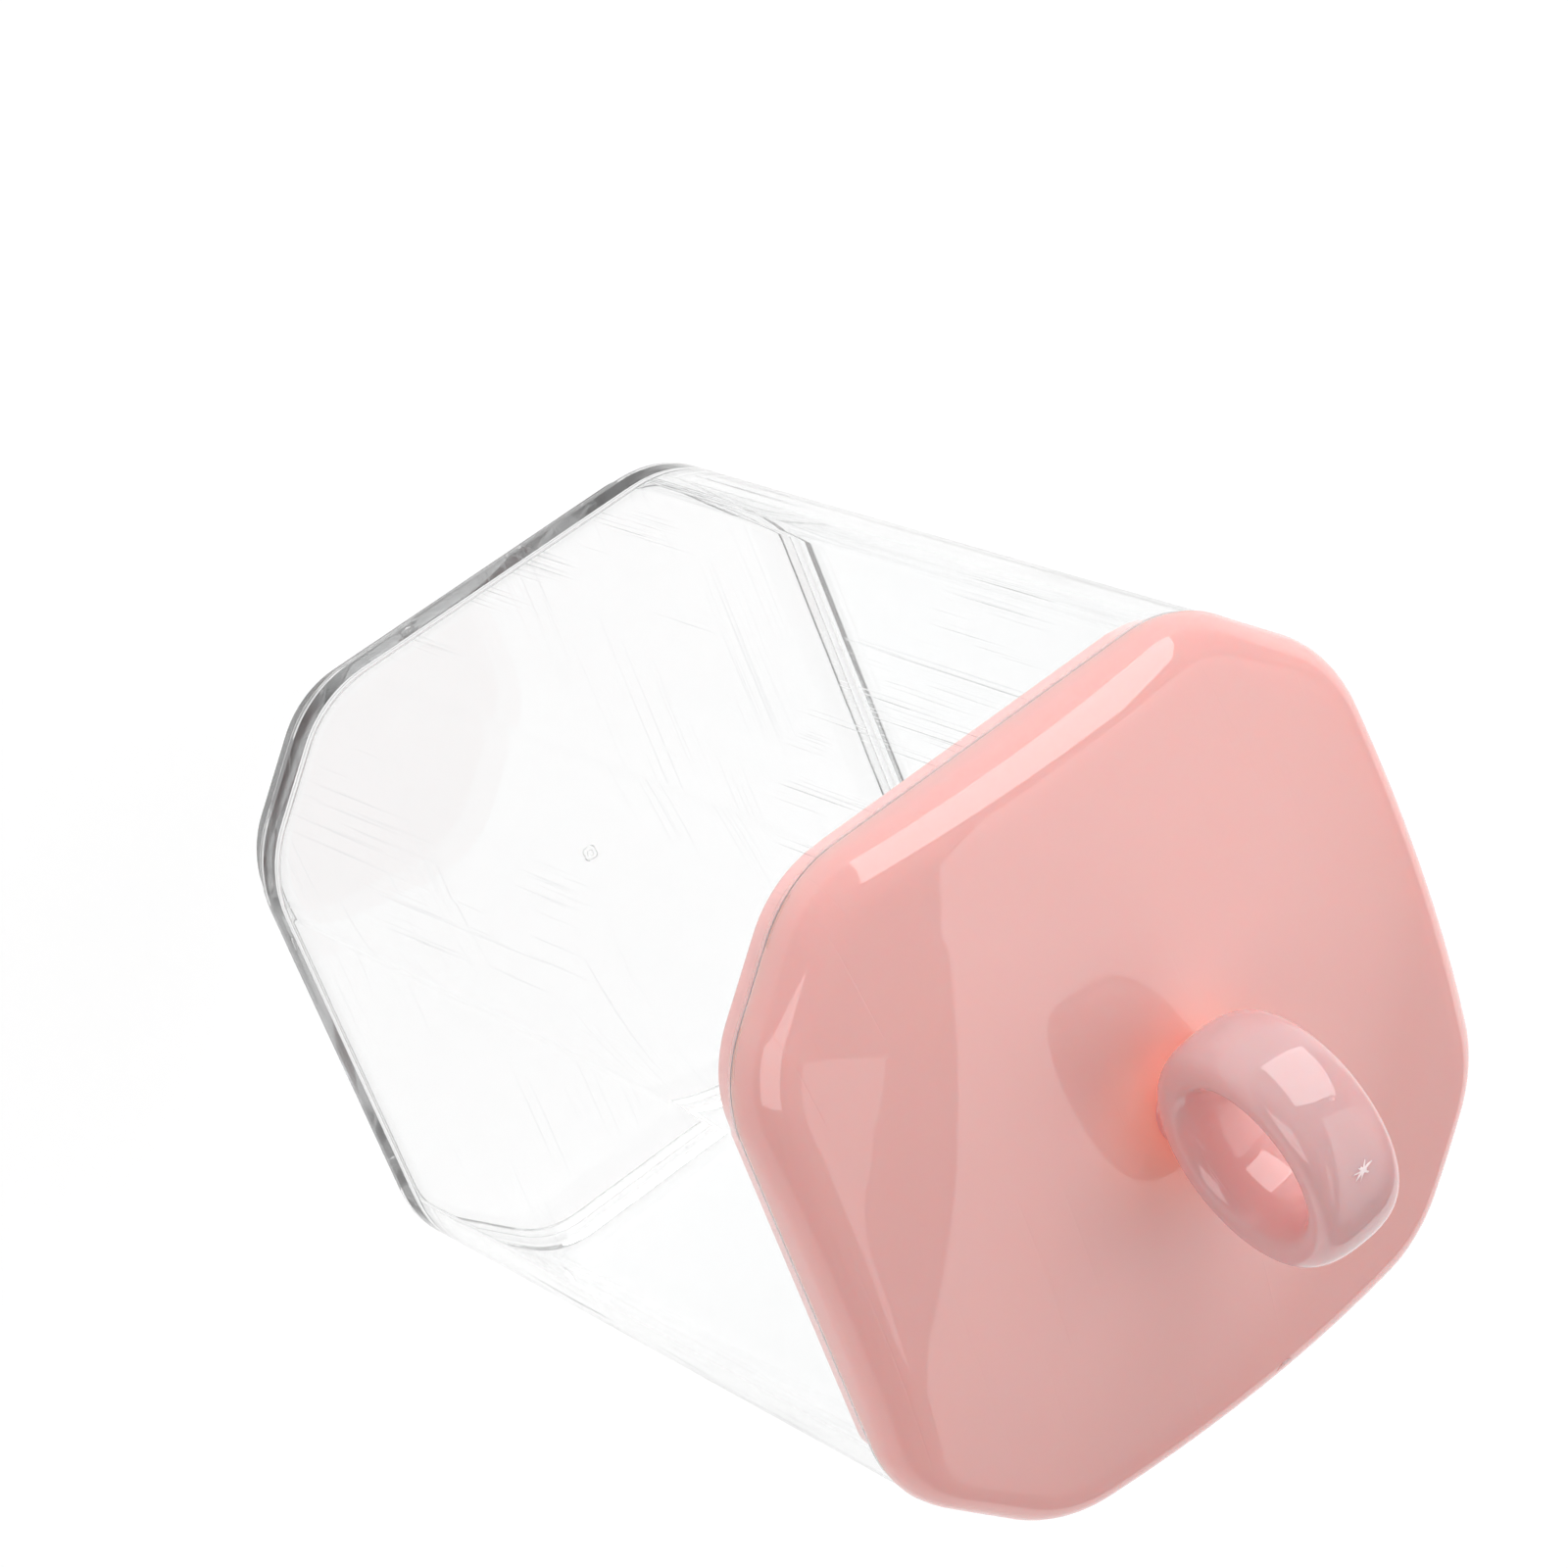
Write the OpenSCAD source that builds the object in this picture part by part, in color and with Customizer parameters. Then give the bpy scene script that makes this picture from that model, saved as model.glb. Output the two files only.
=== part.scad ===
// Lidded canister with an eight-sided, softly rounded plan: a clear jar, and a
// domed lid with a finger ring. The jar stands on its foot at the origin, +Z up.

/* [Jar] */
// Width across two opposite long sides, at the mouth
jar_w = 72; // [66:1:80]
// Height of the jar, from the table to the rim
jar_h = 85; // [60:1:120]
// How far each cut corner runs along the long sides
corner_cut = 13.3; // [12:0.1:15]
// Radius that softens the eight upright edges
corner_r = 13.2; // [12.5:0.1:14]
// Thickness of the side walls
wall = 1.6; // [1.2:0.1:2]
// How much each side leans in, from the rim to the foot
lean = 0.9; // [0.5:0.1:1.2]
// Height of the solid foot under the walls
foot_h = 3.6; // [2:0.1:4]
// How far the foot is set in from the walls
foot_inset = 1.7; // [1:0.1:2.5]
// Thickness of the floor, foot included
floor_t = 4.6; // [4.6:0.1:7]
// Radius inside the jar, between the floor and the walls
floor_r = 2.4; // [1:0.1:3]

/* [Lid] */
// How far the lid reaches past the jar on each side
overhang = 0.2; // [0:0.1:0.5]
// Height of the dome above the lid's lower edge
crown_h = 11.8; // [11.8:0.1:14]
// Radius of the large sphere that the top of the dome follows
dome_r = 118; // [118:1:140]
// Radius of the rolled shoulder between the dome and the side
shoulder_r = 5.4; // [5:0.1:5.4]
// Thickness of the dome
dome_t = 2.2; // [1.6:0.1:2.4]
// How deep the plug reaches into the jar
plug_depth = 4.3; // [3:0.1:8]
// Gap between the plug and the inside of the jar
plug_gap = 0.25; // [0.2:0.05:0.4]
// Thickness of the plug's plate and of its wall
plug_t = 1.5; // [1.2:0.1:2]

/* [Finger ring] */
// Outer diameter of the ring
ring_d = 23.2; // [20:0.1:28]
// Width of the band, along the finger
ring_w = 9.3; // [7:0.1:12]
// Thickness of the band, between its outside and the hole
ring_t = 4.7; // [4:0.1:5.5]
// Diameter of the neck that holds the ring in the dome
neck_d = 7; // [5:0.1:8]

/* [Hidden] */
$fn = 96;

over = 1;           // how far a cutting shape runs past what it cuts
rim_r = 0.4;        // rounding of the jar's rim, outside and inside
foot_r = 0.5;       // rounding of the foot and of the walls' lower edge
lid_rest = 0.15;    // gap between the rim and the lid that sits on it
seat_inset = 3.6;   // from the lid's side to the hollow under its dome
collar_h = 2;       // how far the plug's collar reaches up into that hollow
collar_gap = 0.1;   // gap around the collar
plug_edge_r = 1;    // rounding of the plug's lower edge
plug_taper = 0.15;  // how much the plug narrows on its way down

lid_z = jar_h + lid_rest;
lid_r = corner_r + overhang;
seat_r = lid_r - seat_inset;
sphere_z = crown_h - dome_r;
ring_z = crown_h + ring_d / 2;

// ---- The plan: eight sides, each pair joined by an arc about a fixed centre ----
// Outlines inset from each other share these centres, so only the radius changes.

centre_x = jar_w / 2 - corner_r;
centre_y = jar_w / 2 - corner_cut - corner_r * tan(22.5);
CENTRES = [for (quarter = [0:90:270], end = [-1, 1])
    [centre_x * cos(quarter) - end * centre_y * sin(quarter),
     centre_x * sin(quarter) + end * centre_y * cos(quarter)]];

ARC_STEPS = 6;      // steps in each corner arc
SIDE_STEPS = 4;     // steps along each side
ROUND_STEPS = 4;    // steps in each rounded edge
ROLL_STEPS = 6;     // steps up the lid's rolled shoulder
DOME_STEPS = 5;     // steps from the shoulder to the crown

function unit(v) = v / norm(v);
function mix(a, b, t) = a + (b - a) * t;

// Points of the plan at corner radius r, each with the direction that it faces
function plan_points(r) = [for (k = [0:7])
    let (facing = 45 * k,
         arc_end = CENTRES[k] + r * [cos(facing), sin(facing)],
         side_end = CENTRES[(k + 1) % 8] + r * [cos(facing), sin(facing)])
    each concat(
        [for (i = [0:ARC_STEPS]) let (a = facing - 45 + 45 * i / ARC_STEPS)
            [CENTRES[k] + r * [cos(a), sin(a)], a]],
        [for (i = [1:SIDE_STEPS - 1]) [mix(arc_end, side_end, i / SIDE_STEPS), facing]])];

// One ring of points round the plan, for a point of a section at [r, z]
function level_ring(point) = [for (p = plan_points(point[0])) [p[0].x, p[0].y, point[1]]];

// Points of an arc, for the rounded corners of a section
function arc(x, z, r, from, to) = [for (i = [0:ROUND_STEPS])
    let (a = mix(from, to, i / ROUND_STEPS)) [x + r * cos(a), z + r * sin(a)]];

// Closed solid: its surface runs from the first centre, out over the rings, to the last
module ringed_solid(first_centre, rings, last_centre) {
    count = len(rings[0]);
    last = (len(rings) - 1) * count;
    first_point = len(rings) * count;
    points = concat([for (ring = rings, p = ring) p],
        [[0, 0, first_centre], [0, 0, last_centre]]);
    polyhedron(points, [for (i = [0:count - 1]) let (j = (i + 1) % count) each concat(
        [[first_point, i, j], [last + i, first_point + 1, last + j]],
        [for (k = [0:count:last - count]) [k + i, k + count + i, k + count + j, k + j]])]);
}

// ---- Jar ----

// Foot, outside wall, rim, inside wall and floor; the walls lean in towards the foot
function jar_section() = let (low_r = corner_r - lean, foot_edge = low_r - foot_inset) concat(
    arc(foot_edge - foot_r, foot_r, foot_r, -90, 0),
    [[foot_edge, foot_h]],
    arc(low_r - foot_r, foot_h + foot_r, foot_r, -90, 0),
    arc(corner_r - rim_r, jar_h - rim_r, rim_r, 0, 90),
    arc(corner_r - wall + rim_r, jar_h - rim_r, rim_r, 90, 180),
    arc(low_r - wall - floor_r, floor_t + floor_r, floor_r, 0, -90));

module jar_body() {
    color([0.90, 0.94, 0.95, 0.35])
        ringed_solid(0, [for (point = jar_section()) level_ring(point)], floor_t);
}

// ---- Lid ----

// The shoulder is rolled by a ball whose centre runs along this inner outline
BALL_PATH = plan_points(lid_r - shoulder_r);

// Height of a sphere of radius r, concentric with the dome, over a point
function sphere_height(r, p) = sphere_z + sqrt(r * r - p * p);

// One ring of points on the rolled shoulder: t runs from the side, 0, to the dome, 1
function shoulder_ring(t) = [for (b = BALL_PATH)
    let (ball = [b[0].x, b[0].y, sphere_height(dome_r - shoulder_r, b[0])],
         sideways = [cos(b[1]), sin(b[1]), 0],
         dome_normal = unit(ball - [0, 0, sphere_z]))
    ball + shoulder_r * unit(mix(sideways, dome_normal, t))];

function lower_edge() = [for (p = shoulder_ring(0)) [p.x, p.y, 0]];

// One ring of points on a sphere of radius r, over an outline shrunk to the share t
function dome_ring(outline, r, t) = [for (b = outline)
    let (p = t * b[0]) [p.x, p.y, sphere_height(r, p)]];

// The hollow from its crown to its lower edge, then the outside from there to the crown
function cap_rings() = let (hollow = plan_points(seat_r),
                            reach = dome_r / (dome_r - shoulder_r)) concat(
    [for (i = [1:DOME_STEPS]) dome_ring(hollow, dome_r - dome_t, i / DOME_STEPS)],
    [level_ring([seat_r, 0]), lower_edge()],
    [for (i = [0:ROLL_STEPS]) shoulder_ring(i / ROLL_STEPS)],
    [for (i = [1:DOME_STEPS - 1]) dome_ring(BALL_PATH, dome_r, reach * (1 - i / DOME_STEPS))]);

module lid_cap() {
    color([0.93, 0.72, 0.70]) translate([0, 0, lid_z]) difference() {
        ringed_solid(crown_h - dome_t, cap_rings(), crown_h);
        cylinder(d = neck_d, h = crown_h + over);
    }
}

// A tray, open at the top, whose collar stands up inside the dome
function plug_section() = let (plug_r = corner_r - wall - plug_gap,
                               collar_r = seat_r - collar_gap,
                               plate_z = plug_t - plug_depth) concat(
    arc(plug_r - plug_taper - plug_edge_r, plug_edge_r - plug_depth, plug_edge_r, -90, 0),
    [[plug_r, 0], [collar_r, 0], [collar_r, collar_h], [collar_r - plug_t, collar_h],
     [collar_r - plug_t, plate_z]]);

module lid_plug() {
    color([0.91, 0.69, 0.67]) translate([0, 0, lid_z])
        ringed_solid(-plug_depth, [for (point = plug_section()) level_ring(point)],
            plug_t - plug_depth);
}

// ---- Finger ring ----

// Section of the band: flat inside and outside, with round edges
module band_section() {
    flat_w = ring_w - ring_t;
    translate([(ring_d - ring_t) / 2, 0]) {
        square([ring_t, flat_w], center = true);
        for (side = [-1, 1]) translate([0, side * flat_w / 2]) circle(d = ring_t);
    }
}

module ring_handle() {
    neck_low = crown_h - dome_t;
    neck_high = crown_h + ring_t / 2;
    color([0.93, 0.76, 0.76]) translate([0, 0, lid_z]) {
        translate([0, 0, ring_z]) rotate([90, 0, 0]) rotate_extrude() band_section();
        translate([0, 0, neck_low]) cylinder(d = neck_d, h = neck_high - neck_low);
    }
}

jar_body();
lid_cap();
lid_plug();
ring_handle();
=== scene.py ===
import math
import random

import bpy
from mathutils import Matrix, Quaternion, Vector


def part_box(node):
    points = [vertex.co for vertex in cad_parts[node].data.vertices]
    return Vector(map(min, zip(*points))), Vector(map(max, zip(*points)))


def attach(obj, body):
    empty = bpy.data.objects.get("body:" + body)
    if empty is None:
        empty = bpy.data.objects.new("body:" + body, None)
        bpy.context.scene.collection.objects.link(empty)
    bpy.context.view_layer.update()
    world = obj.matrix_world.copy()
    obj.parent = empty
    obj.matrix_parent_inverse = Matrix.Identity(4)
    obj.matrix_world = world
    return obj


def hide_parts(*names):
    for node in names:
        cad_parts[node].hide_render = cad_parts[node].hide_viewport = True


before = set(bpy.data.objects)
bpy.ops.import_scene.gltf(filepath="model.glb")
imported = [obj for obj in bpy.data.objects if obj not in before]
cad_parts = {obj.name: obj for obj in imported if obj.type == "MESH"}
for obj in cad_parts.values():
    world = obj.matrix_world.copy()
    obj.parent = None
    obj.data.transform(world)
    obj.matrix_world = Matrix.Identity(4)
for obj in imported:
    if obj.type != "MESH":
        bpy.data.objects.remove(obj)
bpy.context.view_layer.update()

# A clear canister with an eight-sided, softly rounded plan, and its opal domed lid
# with a finger ring. Everything is in metres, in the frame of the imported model.

MM = 0.001

# ---- Sizes ----

JAR_LOW, JAR_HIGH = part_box("jar_body")
CAP_LOW, CAP_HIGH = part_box("lid_cap")
PLUG_LOW, PLUG_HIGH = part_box("lid_plug")
RING_LOW, RING_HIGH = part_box("ring_handle")

CORNER_CUT = 13.3 * MM      # how far each cut corner runs along the long sides
CORNER_R = 13.2 * MM        # radius of the jar's eight upright edges, at the rim
WALL = 1.6 * MM
LEAN = 0.9 * MM             # how much each side leans in towards the foot
FOOT_H = 3.6 * MM
FOOT_INSET = 1.7 * MM
FLOOR_T = 4.6 * MM
FLOOR_R = 2.4 * MM

DOME_R = 118 * MM           # radius of the sphere that the top of the lid follows
SHOULDER_R = 5.4 * MM       # radius of the rolled shoulder round the dome
DOME_T = 2.2 * MM
SEAT_INSET = 3.6 * MM       # from the lid's side to the hollow under its dome
PLUG_T = 1.5 * MM
COLLAR_GAP = 0.1 * MM
PLUG_TAPER = 0.15 * MM
RING_T = 4.7 * MM           # thickness of the ring's band
NECK_R = 3.5 * MM

JAR_W = JAR_HIGH.x - JAR_LOW.x
JAR_H = JAR_HIGH.z
LID_Z = CAP_LOW.z
LID_R = CORNER_R + CAP_HIGH.x - JAR_HIGH.x
SEAT_R = LID_R - SEAT_INSET
CROWN_H = CAP_HIGH.z - LID_Z
RING_D = RING_HIGH.x - RING_LOW.x
RING_W = RING_HIGH.y - RING_LOW.y
RING_Z = RING_HIGH.z - RING_D / 2
PLUG_R = CORNER_R - (JAR_HIGH.x - PLUG_HIGH.x)

# ---- The plan: eight sides, each pair joined by an arc about a fixed centre ----

CENTRE_X = JAR_W / 2 - CORNER_R
CENTRE_Y = JAR_W / 2 - CORNER_CUT - CORNER_R * math.tan(math.radians(22.5))
ARC_STEPS = 24              # steps in each corner arc
SIDE_STEPS = 10             # steps along each side, where a face is not flat


def heading(angle):
    """Unit vector in the plan that faces an angle."""
    return Vector((math.cos(angle), math.sin(angle), 0))


def turned(x, y, angle):
    """A point of the plan, turned about the upright axis."""
    return Vector((x * math.cos(angle) - y * math.sin(angle),
                   x * math.sin(angle) + y * math.cos(angle), 0))


CENTRES = [turned(CENTRE_X, end * CENTRE_Y, math.radians(90 * quarter))
           for quarter in range(4) for end in (-1, 1)]


def plan_points(radius, side_steps, z=0.0):
    """Points round the plan at a corner radius, each with the direction that it faces."""
    points = []
    for k, centre in enumerate(CENTRES):
        facing = math.radians(45 * k)
        for i in range(ARC_STEPS + 1):
            side = heading(facing - math.radians(45) * (1 - i / ARC_STEPS))
            points.append((centre + radius * side, side))
        side = heading(facing)
        after = CENTRES[(k + 1) % len(CENTRES)]
        for i in range(1, side_steps):
            points.append((centre.lerp(after, i / side_steps) + radius * side, side))
    return [(point + Vector((0, 0, z)), side) for point, side in points]


def level_ring(radius, z, side_steps=1):
    """One ring of points round the plan."""
    return [point for point, _ in plan_points(radius, side_steps, z)]


def round_ring(radius, z, like):
    """A circle with as many points as a ring of the plan, each in the same direction."""
    return [radius * Vector((p.x, p.y, 0)).normalized() + Vector((0, 0, z)) for p in like]


def rounded(corners, steps=6):
    """A section through (r, z, fillet) corners, with an arc at each corner that has a fillet."""
    path = []
    last = len(corners) - 1
    for i, (r, z, fillet) in enumerate(corners):
        here = Vector((r, z))
        if i in (0, last) or fillet == 0:
            path.append(here)
            continue
        back = (Vector(corners[i - 1][:2]) - here).normalized()
        on = (Vector(corners[i + 1][:2]) - here).normalized()
        half = back.angle(on) / 2
        centre = here + (back + on).normalized() * fillet / math.sin(half)
        start = (here + back * fillet / math.tan(half) - centre).normalized()
        end = (here + on * fillet / math.tan(half) - centre).normalized()
        path += [centre + fillet * start.slerp(end, step / steps) for step in range(steps + 1)]
    return path


# ---- Meshes ----

def make_piece(name, points, faces, material, body, slot, *nodes):
    """Makes a smooth mesh, and lets it ride on a body in place of CAD nodes."""
    mesh = bpy.data.meshes.new(name)
    mesh.from_pydata(points, [], faces)
    mesh.validate()
    mesh.shade_smooth()
    mesh.materials.append(material)
    piece = bpy.data.objects.new(name, mesh)
    bpy.context.collection.objects.link(piece)
    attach(piece, body)
    if nodes:
        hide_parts(*nodes)
    return piece


def ring_faces(rings, first_centre, last_centre):
    """Points and faces of a closed surface from one centre, out over the rings, to the other."""
    count = len(rings[0])
    points = [p for ring in rings for p in ring]
    points += [first_centre, last_centre]
    start = len(points) - 2
    end = len(points) - 1
    top = count * (len(rings) - 1)
    faces = []
    for i in range(count):
        j = (i + 1) % count
        faces.append((start, j, i))
        faces.append((end, top + i, top + j))
        faces += [(k + i, k + j, k + count + j, k + count + i) for k in range(0, top, count)]
    return points, faces


def keep_flats_flat(piece):
    """Lets the large flat faces set the shading where they meet a small rounding."""
    modifier = piece.modifiers.new("flats", "WEIGHTED_NORMAL")
    modifier.weight = 90
    modifier.keep_sharp = True


# ---- Materials ----

def new_material(name):
    """A new material, with its nodes and links."""
    material = bpy.data.materials.new(name)
    material.use_nodes = True
    return material, material.node_tree.nodes, material.node_tree.links


def add_node(nodes, kind, **values):
    """Adds a node; values are its properties or, failing that, its inputs."""
    made = nodes.new(kind)
    for key, value in values.items():
        if hasattr(made, key):
            setattr(made, key, value)
        else:
            made.inputs[key.replace("_", " ")].default_value = value
    return made


def mixed(nodes, links, factor, low, high):
    """Colour between two, by a factor socket."""
    mix = add_node(nodes, "ShaderNodeMix", data_type="RGBA")
    links.new(factor, mix.inputs[0])
    for socket, value in ((mix.inputs[6], low), (mix.inputs[7], high)):
        if isinstance(value, bpy.types.NodeSocket):
            links.new(value, socket)
        else:
            socket.default_value = (*value, 1)
    return mix.outputs[2]


def ramped(nodes, links, source, low, high, out_low=0.0, out_high=1.0):
    """Maps a range of one value onto another, and clamps it."""
    ramp = add_node(nodes, "ShaderNodeMapRange",
                    From_Min=low, From_Max=high, To_Min=out_low, To_Max=out_high)
    links.new(source, ramp.inputs["Value"])
    return ramp.outputs["Result"]


def joined(nodes, links, operation, first, second):
    """Two values put together by a Math node; either may be a plain number."""
    made = add_node(nodes, "ShaderNodeMath", operation=operation)
    for socket, value in zip(made.inputs, (first, second)):
        if isinstance(value, bpy.types.NodeSocket):
            links.new(value, socket)
        else:
            socket.default_value = value
    return made.outputs[0]


def hairlines(nodes, links, place, turn, share):
    """Sparse fine scratches that run one way: noise drawn out along one axis, then cut off."""
    lay = add_node(nodes, "ShaderNodeMapping", Rotation=turn, Scale=(22, 2600, 22))
    links.new(place, lay.inputs["Vector"])
    noise = add_node(nodes, "ShaderNodeTexNoise", Scale=1.0, Detail=2.0, Distortion=0.25)
    links.new(lay.outputs[0], noise.inputs["Vector"])
    where = add_node(nodes, "ShaderNodeTexNoise", Scale=34.0, Detail=1.0)
    links.new(place, where.inputs["Vector"])
    lines = ramped(nodes, links, noise.outputs["Fac"], 0.67 - share, 0.73 - share)
    patches = ramped(nodes, links, where.outputs["Fac"], 0.46, 0.60)
    return joined(nodes, links, "MULTIPLY", lines, patches)


def bumped(nodes, links, height, distance, strength, below=None):
    """A normal bent by a height, on top of another normal if there is one."""
    bump = add_node(nodes, "ShaderNodeBump", Strength=strength, Distance=distance)
    links.new(height, bump.inputs["Height"])
    if below:
        links.new(below, bump.inputs["Normal"])
    return bump.outputs["Normal"]


def clear_plastic():
    """Clear moulded polystyrene: a little waviness, and hairline scratches from handling."""
    material, nodes, links = new_material("clear_plastic")
    shader = nodes["Principled BSDF"]
    shader.inputs["Transmission Weight"].default_value = 1
    shader.inputs["IOR"].default_value = 1.49
    place = add_node(nodes, "ShaderNodeTexCoord").outputs["Object"]
    along = hairlines(nodes, links, place, (0.3, 1.1, 0.5), 0.0)
    across = hairlines(nodes, links, place, (0.9, 0.2, 1.9), 0.01)
    scratches = joined(nodes, links, "MAXIMUM", along, across)
    height = add_node(nodes, "ShaderNodeSeparateXYZ")
    links.new(place, height.inputs[0])
    rim = ramped(nodes, links, height.outputs["Z"], JAR_H - 0.7 * MM, JAR_H - 0.45 * MM, 0.0, 0.32)
    foot = joined(nodes, links, "MULTIPLY",
                  ramped(nodes, links, height.outputs["Z"], 0.3 * MM, 0.5 * MM, 0.0, 0.2),
                  ramped(nodes, links, height.outputs["Z"], FOOT_H, FOOT_H - 0.2 * MM))
    dull = joined(nodes, links, "MAXIMUM", rim, foot)
    dull = joined(nodes, links, "MAXIMUM", ramped(nodes, links, scratches, 0, 1, 0.012, 0.22), dull)
    links.new(dull, shader.inputs["Roughness"])
    links.new(mixed(nodes, links, scratches, (0.985, 0.99, 0.99), (0.84, 0.85, 0.86)),
              shader.inputs["Base Color"])
    wave = add_node(nodes, "ShaderNodeTexNoise", Scale=45.0, Detail=1.0)
    links.new(place, wave.inputs["Vector"])
    flow = bumped(nodes, links, wave.outputs["Fac"], 0.00006, 0.5)
    links.new(bumped(nodes, links, scratches, -0.00002, 0.5, flow), shader.inputs["Normal"])
    depth = add_node(nodes, "ShaderNodeVolumeAbsorption", Density=15.5)
    depth.inputs["Color"].default_value = (0.08, 0.09, 0.09, 1)
    links.new(depth.outputs["Volume"], nodes["Material Output"].inputs["Volume"])
    return material


def opal_plastic(name, pale, flow_and_glow_colour, glow_reach, milk, painted_glow_strength=0.25, hole_r=0.0):
    """Glossy opal plastic: soft inside, faint flow marks, specks, and hairline scratches.

    Near the root of the ring, and inside its hole if it has one, a painted glow deepens the colour and adds
    a weak emission; a faint emission all over is painted scattered light.
    """
    material, nodes, links = new_material(name)
    shader = nodes["Principled BSDF"]
    shader.inputs["Subsurface Weight"].default_value = milk
    shader.inputs["Subsurface Radius"].default_value = (1.0, 0.25, 0.18)
    shader.inputs["Subsurface Scale"].default_value = 0.010
    shader.inputs["IOR"].default_value = 1.5
    place = add_node(nodes, "ShaderNodeTexCoord").outputs["Object"]

    flow = add_node(nodes, "ShaderNodeTexNoise", Scale=38.0, Detail=3.0, Distortion=0.6)
    links.new(place, flow.inputs["Vector"])
    tone = ramped(nodes, links, flow.outputs["Fac"], 0.3, 0.7, 0.0, 0.10)
    crown = add_node(nodes, "ShaderNodeVectorMath", operation="DISTANCE")
    crown.inputs[1].default_value = (0, 0, LID_Z + CROWN_H)
    links.new(place, crown.inputs[0])
    # Painted glow round the root of the ring: full within 3 mm of the crown, fading out by glow_reach.
    glow = ramped(nodes, links, crown.outputs["Value"], glow_reach, 3 * MM, 0.0, 1.0)
    glow = joined(nodes, links, "POWER", glow, 2.2)
    # Painted glow inside the ring's hole: the colour deepens within 1.3 mm of the hole's inner face.
    flat = add_node(nodes, "ShaderNodeVectorMath", operation="MULTIPLY")
    flat.inputs[1].default_value = (1, 0, 1)
    links.new(place, flat.inputs[0])
    axis = add_node(nodes, "ShaderNodeVectorMath", operation="DISTANCE")
    axis.inputs[1].default_value = (0, 0, RING_Z)
    links.new(flat.outputs[0], axis.inputs[0])
    inside = ramped(nodes, links, axis.outputs["Value"], hole_r + 1.3 * MM, hole_r, 0.0, 0.45)
    # Deeper colour from the plastic's own flow tone and from the painted glow.
    flow_tone_and_painted_glow = joined(nodes, links, "MAXIMUM", tone, glow)
    if hole_r:
        flow_tone_and_painted_glow = joined(nodes, links, "MAXIMUM", flow_tone_and_painted_glow, inside)
    links.new(mixed(nodes, links, flow_tone_and_painted_glow, pale, flow_and_glow_colour), shader.inputs["Base Color"])
    # Painted glow as light: a weak emission in the deep colour, strongest at the ring's root, with 0.05 all
    # over as painted light scattered inside the plastic.
    shader.inputs["Emission Color"].default_value = (*flow_and_glow_colour, 1)
    painted_glow_emission = joined(nodes, links, "ADD", joined(nodes, links, "MULTIPLY", glow, painted_glow_strength), 0.05)
    links.new(painted_glow_emission, shader.inputs["Emission Strength"])

    speck = add_node(nodes, "ShaderNodeTexVoronoi", Scale=120.0)
    links.new(place, speck.inputs["Vector"])
    pits = ramped(nodes, links, speck.outputs["Distance"], 0.035, 0.02)
    scratches = hairlines(nodes, links, place, (0.2, 0.3, 0.8), 0.0)
    wear = joined(nodes, links, "MAXIMUM", scratches, pits)
    smear = ramped(nodes, links, flow.outputs["Fac"], 0.3, 0.7, 0.015, 0.04)
    links.new(joined(nodes, links, "MAXIMUM", smear, joined(nodes, links, "MULTIPLY", wear, 0.25)),
              shader.inputs["Roughness"])
    wave = bumped(nodes, links, flow.outputs["Fac"], 0.00004, 0.4)
    links.new(bumped(nodes, links, wear, -0.00002, 0.6, wave), shader.inputs["Normal"])
    return material


# ---- Jar ----

GATE_R = 0.9 * MM           # the moulding gate: a small well under the floor, with a nub
GATE_DEPTH = 0.2 * MM
NUB_R = 0.4 * MM


def jar():
    """The jar: foot, wall, rim, inside and floor in one section, with the gate's well below."""
    low_r = CORNER_R - LEAN
    foot_edge = low_r - FOOT_INSET
    section = rounded([
        (foot_edge - 4 * MM, 0, 0),
        (foot_edge, 0, 0.5 * MM),
        (foot_edge, FOOT_H, 0.25 * MM),
        (low_r, FOOT_H, 0.5 * MM),
        (CORNER_R, JAR_H, 0.15 * MM),
        (CORNER_R - WALL, JAR_H, 0.35 * MM),
        (low_r - WALL, FLOOR_T, FLOOR_R),
        (low_r - WALL - 5 * MM, FLOOR_T, 0)], 12)
    rings = [level_ring(r, z) for r, z in section]
    gate = rounded([
        (0.2 * MM, GATE_DEPTH / 3, 0),
        (NUB_R, GATE_DEPTH / 3, 0.06 * MM),
        (NUB_R, GATE_DEPTH, 0.06 * MM),
        (GATE_R, GATE_DEPTH, 0.09 * MM),
        (GATE_R, 0, 0.09 * MM),
        (2 * GATE_R, 0, 0)], 3)
    well = [round_ring(r, z, rings[0]) for r, z in gate]
    points, faces = ring_faces(well + rings, Vector((0, 0, GATE_DEPTH / 3)), Vector((0, 0, FLOOR_T)))
    piece = make_piece("jar", points, faces, clear_plastic(), "jar", "clear_plastic", "jar_body")
    piece.visible_shadow = False
    keep_flats_flat(piece)


# ---- Lid ----

SPHERE_Z = LID_Z + CROWN_H - DOME_R


def sphere_height(radius, point):
    """Height of a sphere, concentric with the dome, over a point."""
    return SPHERE_Z + math.sqrt(radius ** 2 - point.x ** 2 - point.y ** 2)


def shoulder_ring(ball_path, share):
    """One ring of points on the shoulder, rolled from the side, 0, to the dome, 1."""
    ring = []
    for point, side in ball_path:
        ball = Vector((point.x, point.y, sphere_height(DOME_R - SHOULDER_R, point)))
        normal = (ball - Vector((0, 0, SPHERE_Z))).normalized()
        ring.append(ball + SHOULDER_R * side.slerp(normal, share))
    return ring


def dome_ring(path, radius, share):
    """One ring of points on a sphere, over a path shrunk to a share of its size."""
    shrunk = [share * point for point, _ in path]
    return [Vector((p.x, p.y, sphere_height(radius, p))) for p in shrunk]


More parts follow.
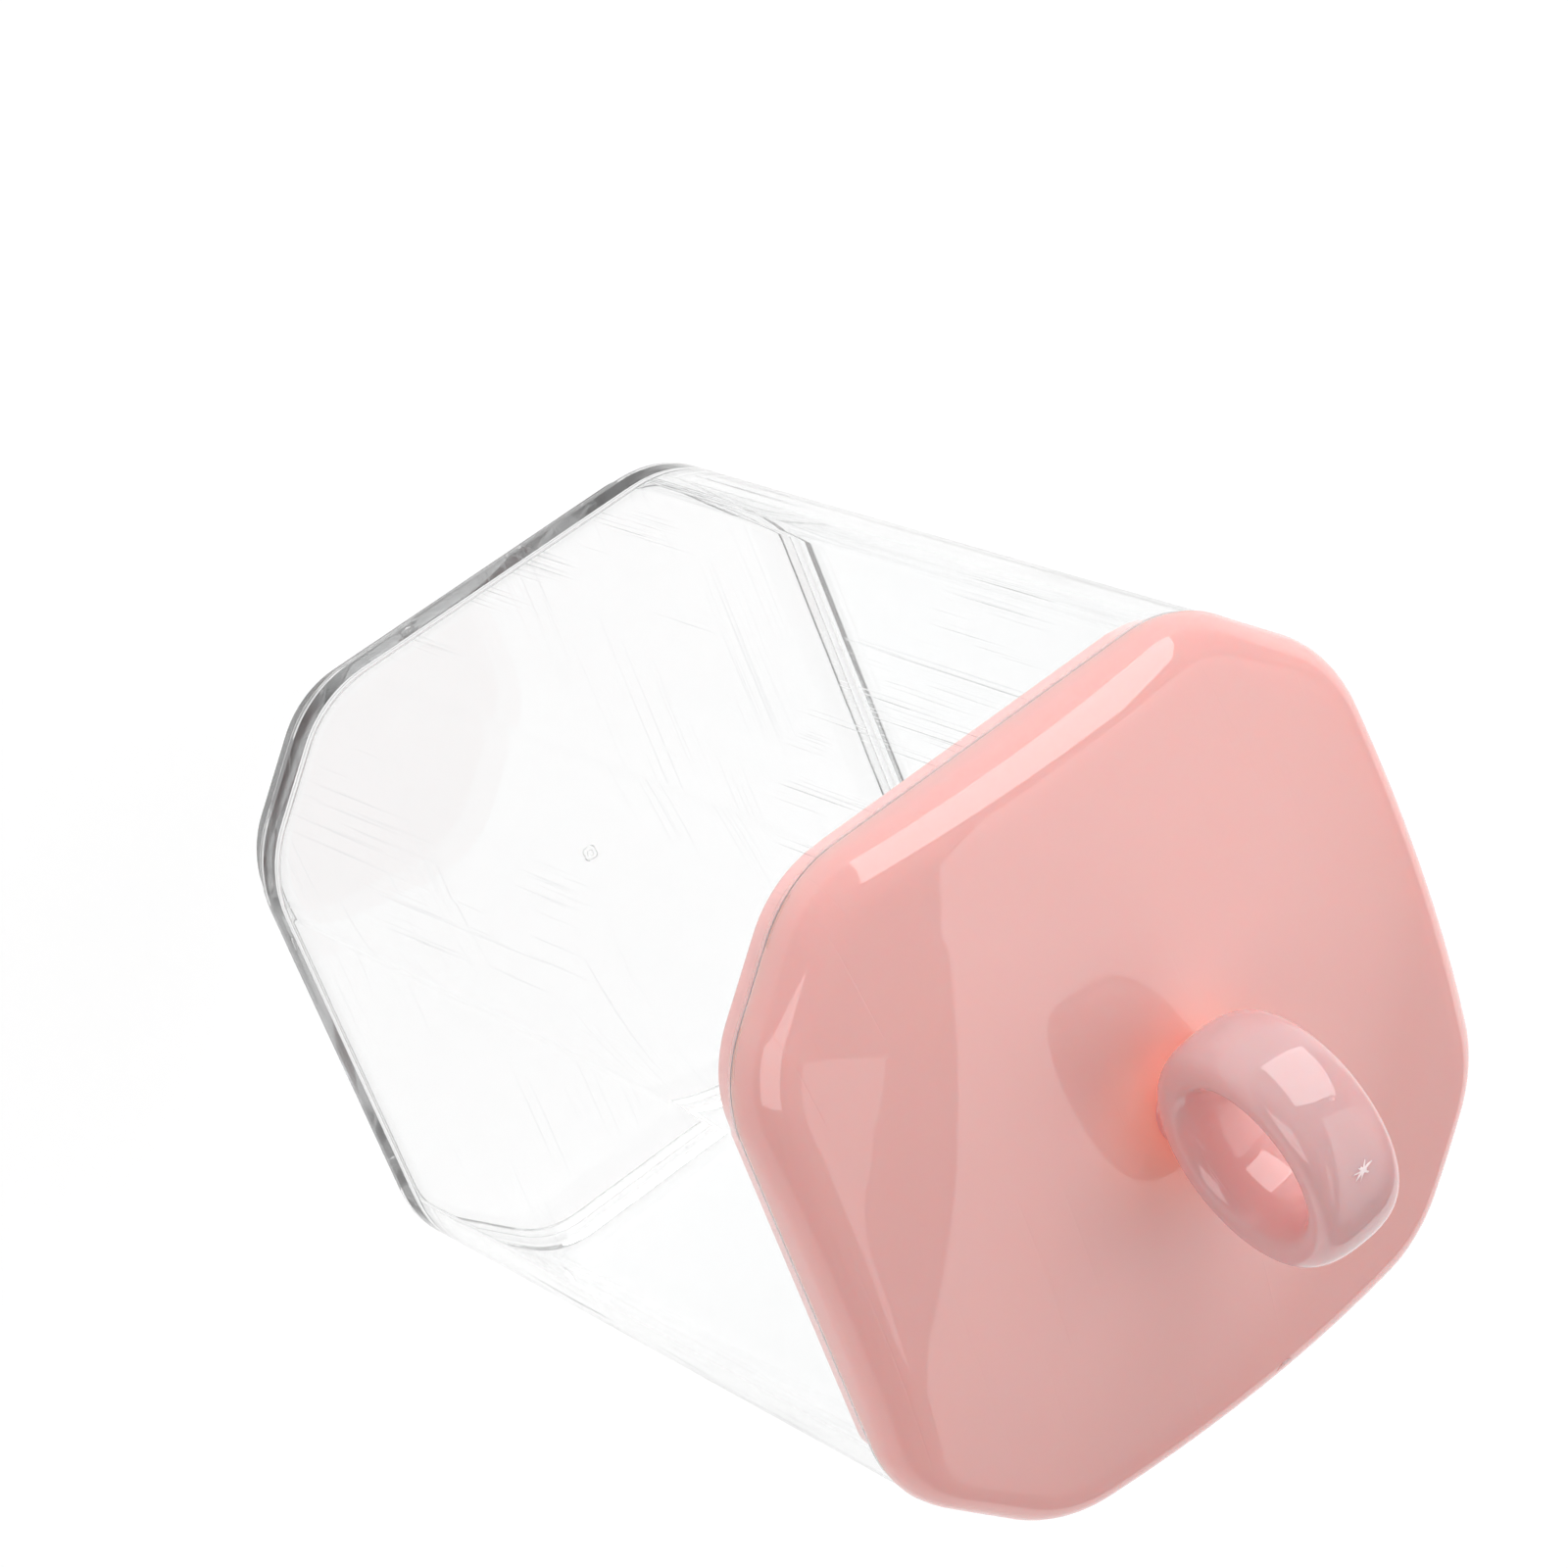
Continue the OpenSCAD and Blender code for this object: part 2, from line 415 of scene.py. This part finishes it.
def lid_cap(material):
    """The dome: its hollow, its lower edge, the rolled shoulder, and the top up to the crown."""
    ball_path = plan_points(LID_R - SHOULDER_R, SIDE_STEPS)
    hollow = plan_points(SEAT_R, SIDE_STEPS)
    reach = DOME_R / (DOME_R - SHOULDER_R)
    hollow_steps = 8
    roll_steps = 16
    dome_steps = 22
    rings = [dome_ring(hollow, DOME_R - DOME_T, i / hollow_steps) for i in range(1, hollow_steps)]
    rings.append(dome_ring(hollow, DOME_R - DOME_T, 1 - 0.5 * MM / SEAT_R))
    rings.append([Vector((p.x, p.y, sphere_height(DOME_R - DOME_T, p) - 0.4 * MM)) for p, _ in hollow])
    lower = rounded([
        (SEAT_R, LID_Z + 1.0 * MM, 0),
        (SEAT_R, LID_Z, 0.25 * MM),
        (LID_R, LID_Z, 0.2 * MM),
        (LID_R, LID_Z + 0.25 * MM, 0)])
    rings += [level_ring(r, z, SIDE_STEPS) for r, z in lower]
    rings += [shoulder_ring(ball_path, i / roll_steps) for i in range(roll_steps + 1)]
    rings += [dome_ring(ball_path, DOME_R, reach * (1 - i / dome_steps)) for i in range(1, dome_steps)]
    crown = Vector((0, 0, LID_Z + CROWN_H))
    points, faces = ring_faces(rings, crown - Vector((0, 0, DOME_T)), crown)
    make_piece("lid_dome", points, faces, material, "lid", "lid_pink", "lid_cap")


def lid_plug(material):
    """The tray under the dome, whose edge shows as the lid's lower tier."""
    collar_r = SEAT_R - COLLAR_GAP
    plate_z = PLUG_LOW.z + PLUG_T
    section = rounded([
        (PLUG_R - 5 * MM, PLUG_LOW.z, 0),
        (PLUG_R - PLUG_TAPER, PLUG_LOW.z, 1 * MM),
        (PLUG_R, LID_Z, 0.15 * MM),
        (collar_r, LID_Z, 0.1 * MM),
        (collar_r, PLUG_HIGH.z, 0.2 * MM),
        (collar_r - PLUG_T, PLUG_HIGH.z, 0.2 * MM),
        (collar_r - PLUG_T, plate_z, 0.6 * MM),
        (collar_r - PLUG_T - 3 * MM, plate_z, 0)])
    rings = [level_ring(r, z) for r, z in section]
    points, faces = ring_faces(rings, Vector((0, 0, PLUG_LOW.z)), Vector((0, 0, plate_z)))
    piece = make_piece("lid_tray", points, faces, material, "lid", "plug_pink", "lid_plug")
    keep_flats_flat(piece)


# ---- Finger ring ----

def band_point(turn, around):
    """A point of the ring: turn goes round its axis, around goes round its band."""
    power = 2 / 2.5
    across = math.copysign(abs(math.cos(around)) ** power, math.cos(around)) * RING_T / 2
    along = math.copysign(abs(math.sin(around)) ** power, math.sin(around)) * RING_W / 2
    reach = (RING_D - RING_T) / 2 + across
    return Vector((reach * math.sin(turn), along, RING_Z + reach * math.cos(turn)))


def finger_ring(material):
    """The ring and its neck, joined into one closed surface."""
    turns = 160
    arounds = 64
    points = [band_point(math.tau * i / turns, math.tau * j / arounds)
              for i in range(turns) for j in range(arounds)]
    faces = []
    for i in range(turns):
        for j in range(arounds):
            a = i * arounds
            b = (i + 1) % turns * arounds
            k = (j + 1) % arounds
            faces.append((a + j, a + k, b + k, b + j))
    ring = make_piece("finger_ring", points, faces, material, "lid", "ring_pink", "ring_handle")

    crown_z = LID_Z + CROWN_H
    profile = [(NECK_R, -DOME_T), (NECK_R + 0.5 * MM, -0.1 * MM), (NECK_R + 0.1 * MM, 0.12 * MM),
               (NECK_R - 0.1 * MM, 0.5 * MM), (NECK_R - 0.1 * MM, RING_T / 2)]
    neck_sides = 96
    like = [heading(math.tau * (i + 0.5) / neck_sides) for i in range(neck_sides)]
    points, faces = ring_faces([round_ring(r, crown_z + z, like) for r, z in profile],
                               Vector((0, 0, crown_z - DOME_T)), Vector((0, 0, crown_z + RING_T / 2)))
    mesh = bpy.data.meshes.new("neck")
    mesh.from_pydata(points, [], faces)
    mesh.shade_smooth()
    neck = bpy.data.objects.new("neck", mesh)
    bpy.context.collection.objects.link(neck)
    union = ring.modifiers.new("neck", "BOOLEAN")
    union.operation = "UNION"
    union.solver = "EXACT"
    union.object = neck
    bpy.context.view_layer.update()
    solid = bpy.data.meshes.new_from_object(ring.evaluated_get(bpy.context.evaluated_depsgraph_get()))
    ring.modifiers.clear()
    ring.data = solid
    bpy.data.objects.remove(neck)


# ---- Marks left by moulding ----

def gate_scar():
    """The broken-off gate on top of the ring: a small ragged patch that stands up slightly."""
    chance = random.Random(7)
    count = 24
    centre = Vector((0.56 * MM, 0.08 * MM, RING_HIGH.z))
    reaches = [chance.choice((0.35, 0.5, 0.65, 0.85, 1.3)) for _ in range(count)]
    rings = []
    for share, lift in ((1.0, -0.12), (0.92, 0.02), (0.6, 0.05), (0.3, 0.02)):
        ring = []
        for i, reach in enumerate(reaches):
            side = share * reach * heading(math.tau * i / count)
            point = Vector((0.75 * side.x, side.y, 0)) * MM
            sag = point.x ** 2 / RING_D
            ring.append(centre + point + Vector((0, 0, (lift + chance.uniform(0, 0.03)) * MM - sag)))
        rings.append(ring)
    points, faces = ring_faces(rings, centre - Vector((0, 0, 0.3 * MM)), centre + Vector((0, 0, 0.06 * MM)))
    material, nodes, _ = new_material("torn_pink")
    shader = nodes["Principled BSDF"]
    shader.inputs["Base Color"].default_value = (0.93, 0.80, 0.80, 1)
    shader.inputs["Roughness"].default_value = 0.45
    make_piece("gate_scar", points, faces, material, "lid", "ring_pink")


def parting_mark(material):
    """A thin curved lip on the shoulder of the lid, where two faces of the mould met."""
    steps = 24
    sides = 8
    rings = []
    for i in range(steps + 1):
        turn = math.radians(-70 + 140 * i / steps)
        y = -2.5 * MM + 1.0 * MM * math.sin(turn)
        rise = math.radians(50) + 1.2 * MM * math.cos(turn) / SHOULDER_R
        path = Vector((CAP_LOW.x + SHOULDER_R, y, 0))
        ball = Vector((path.x, y, sphere_height(DOME_R - SHOULDER_R, path)))
        normal = Vector((-math.cos(rise), 0, math.sin(rise)))
        across = normal.cross(Vector((0, 1, 0)))
        thick = 0.17 * MM * math.sin(math.pi * (i + 0.5) / (steps + 1))
        rings.append([ball + SHOULDER_R * normal + thick * (a.x * normal + a.y * across)
                      for a in (heading(-math.tau * j / sides) for j in range(sides))])
    points, faces = ring_faces(rings, sum(rings[0], Vector()) / sides, sum(rings[-1], Vector()) / sides)
    make_piece("parting_mark", points, faces, material, "lid", "lid_pink")


# ---- Studio ----

def add_light(name, place, aim, width, height, radiance, turn=0.0, spread=180.0):
    """A softbox with an even brightness, which faces a point."""
    place = Vector(place)
    lamp = bpy.data.lights.new(name, "AREA")
    lamp.shape = "RECTANGLE"
    lamp.size = width
    lamp.size_y = height
    lamp.energy = radiance * math.pi * width * height
    lamp.spread = math.radians(spread)
    box = bpy.data.objects.new(name, lamp)
    box.location = place
    box.rotation_mode = "QUATERNION"
    facing = (Vector(aim) - place).to_track_quat("-Z", "Y")
    box.rotation_quaternion = facing @ Quaternion((0, 0, 1), math.radians(turn))
    bpy.context.collection.objects.link(box)


def add_ceiling_light(name, corner, heading_angle, length, depth, radiance, spread=180.0):
    """A level softbox 1 m above the lid, from a corner along a heading and to the left of it."""
    corner = Vector((*corner, LID_Z + CROWN_H + 1))
    along = heading(math.radians(heading_angle))
    left = Vector((-along.y, along.x, 0))
    middle = corner + along * length / 2 + left * depth / 2
    add_light(name, middle, middle - Vector((0, 0, 1)), length, depth, radiance, heading_angle, spread)


def floor():
    """A plain white floor, just under the jar so that the two never share a plane."""
    half = 6.0
    z = -0.3 * MM
    corners = [(-half, -half, z), (half, -half, z), (half, half, z), (-half, half, z)]
    mesh = bpy.data.meshes.new("floor")
    mesh.from_pydata(corners, [], [(0, 1, 2, 3)])
    material, nodes, links = new_material("floor")
    shader = nodes["Principled BSDF"]
    shader.inputs["Base Color"].default_value = (0.3, 0.3, 0.3, 1)
    shader.inputs["Roughness"].default_value = 0.9
    shader.inputs["Specular IOR Level"].default_value = 0
    shader.inputs["Emission Color"].default_value = (1, 1, 1, 1)
    shader.inputs["Emission Strength"].default_value = 0.73
    mesh.materials.append(material)
    plane = bpy.data.objects.new("floor", mesh)
    bpy.context.collection.objects.link(plane)


def studio():
    """Floor, even surroundings and five softboxes."""
    floor()
    world = bpy.data.worlds.new("studio")
    bpy.context.scene.world = world
    world.use_nodes = True
    world.node_tree.nodes["Background"].inputs["Color"].default_value = (0.25, 0.25, 0.25, 1)
    world.node_tree.nodes["Background"].inputs["Strength"].default_value = 1.0
    lid = Vector((0, 0, LID_Z + CROWN_H))
    add_light("key", lid + Vector((0.90, -0.50, 0.38)), lid, 0.72, 0.95, 4.4)
    add_light("front", lid + Vector((0.35, 1.05, 0.60)), lid, 0.8, 0.8, 2.7)
    add_ceiling_light("sheet", (0.518, -0.378), 161, 2.7, 2.8, 1.0, 140)
    add_ceiling_light("strip", (-0.10, 0.16), 151, 0.9, 0.18, 1.1)
    add_ceiling_light("bar", (-0.06, -0.31), 234, 2.2, 0.6, 0.7, 140)
    view = bpy.context.scene.view_settings
    view.view_transform = "Standard"
    view.look = "None"
    cycles = bpy.context.scene.cycles
    cycles.max_bounces = 72
    cycles.glossy_bounces = 64
    cycles.transmission_bounces = 40


def camera():
    """A camera that sees the lid from the front and above, rolled on its side."""
    azimuth = math.radians(130.33)
    elevation = math.radians(51.86)
    roll = math.radians(110.74)
    aim = Vector((30.5, 8.1, 62.8)) * MM
    distance = 510.25 * MM
    back = Vector((math.sin(azimuth) * math.cos(elevation), -math.cos(azimuth) * math.cos(elevation),
                   math.sin(elevation)))
    lens = bpy.data.cameras.new("camera")
    lens.lens = 130.8
    lens.sensor_width = 36
    lens.clip_start = 0.01
    holder = bpy.data.objects.new("camera", lens)
    holder.location = aim + distance * back
    holder.rotation_mode = "QUATERNION"
    level = (-back).to_track_quat("-Z", "Y")
    holder.rotation_quaternion = level @ Quaternion((0, 0, 1), roll)
    bpy.context.collection.objects.link(holder)
    bpy.context.scene.camera = holder


# ---- The whole scene ----

# The deep colours serve both the flow marks' own tone and the painted glow near the ring's root and in its
# hole.
PINK = (0.76, 0.405, 0.39)
PINK_FLOW_AND_GLOW = (0.99, 0.36, 0.28)
PINK_MILKY = (0.55, 0.39, 0.395)
PINK_RING_FLOW_AND_GLOW = (0.72, 0.29, 0.26)

studio()
camera()
jar()
lid_pink = opal_plastic("lid_pink", PINK, PINK_FLOW_AND_GLOW, 16 * MM, 0.6)
lid_cap(lid_pink)
parting_mark(lid_pink)
lid_plug(opal_plastic("plug_pink", PINK, PINK_FLOW_AND_GLOW, 5 * MM, 0.35))
finger_ring(opal_plastic("ring_pink", PINK_MILKY, PINK_RING_FLOW_AND_GLOW, 9.5 * MM, 0.8, 0.12, RING_D / 2 - RING_T))
gate_scar()
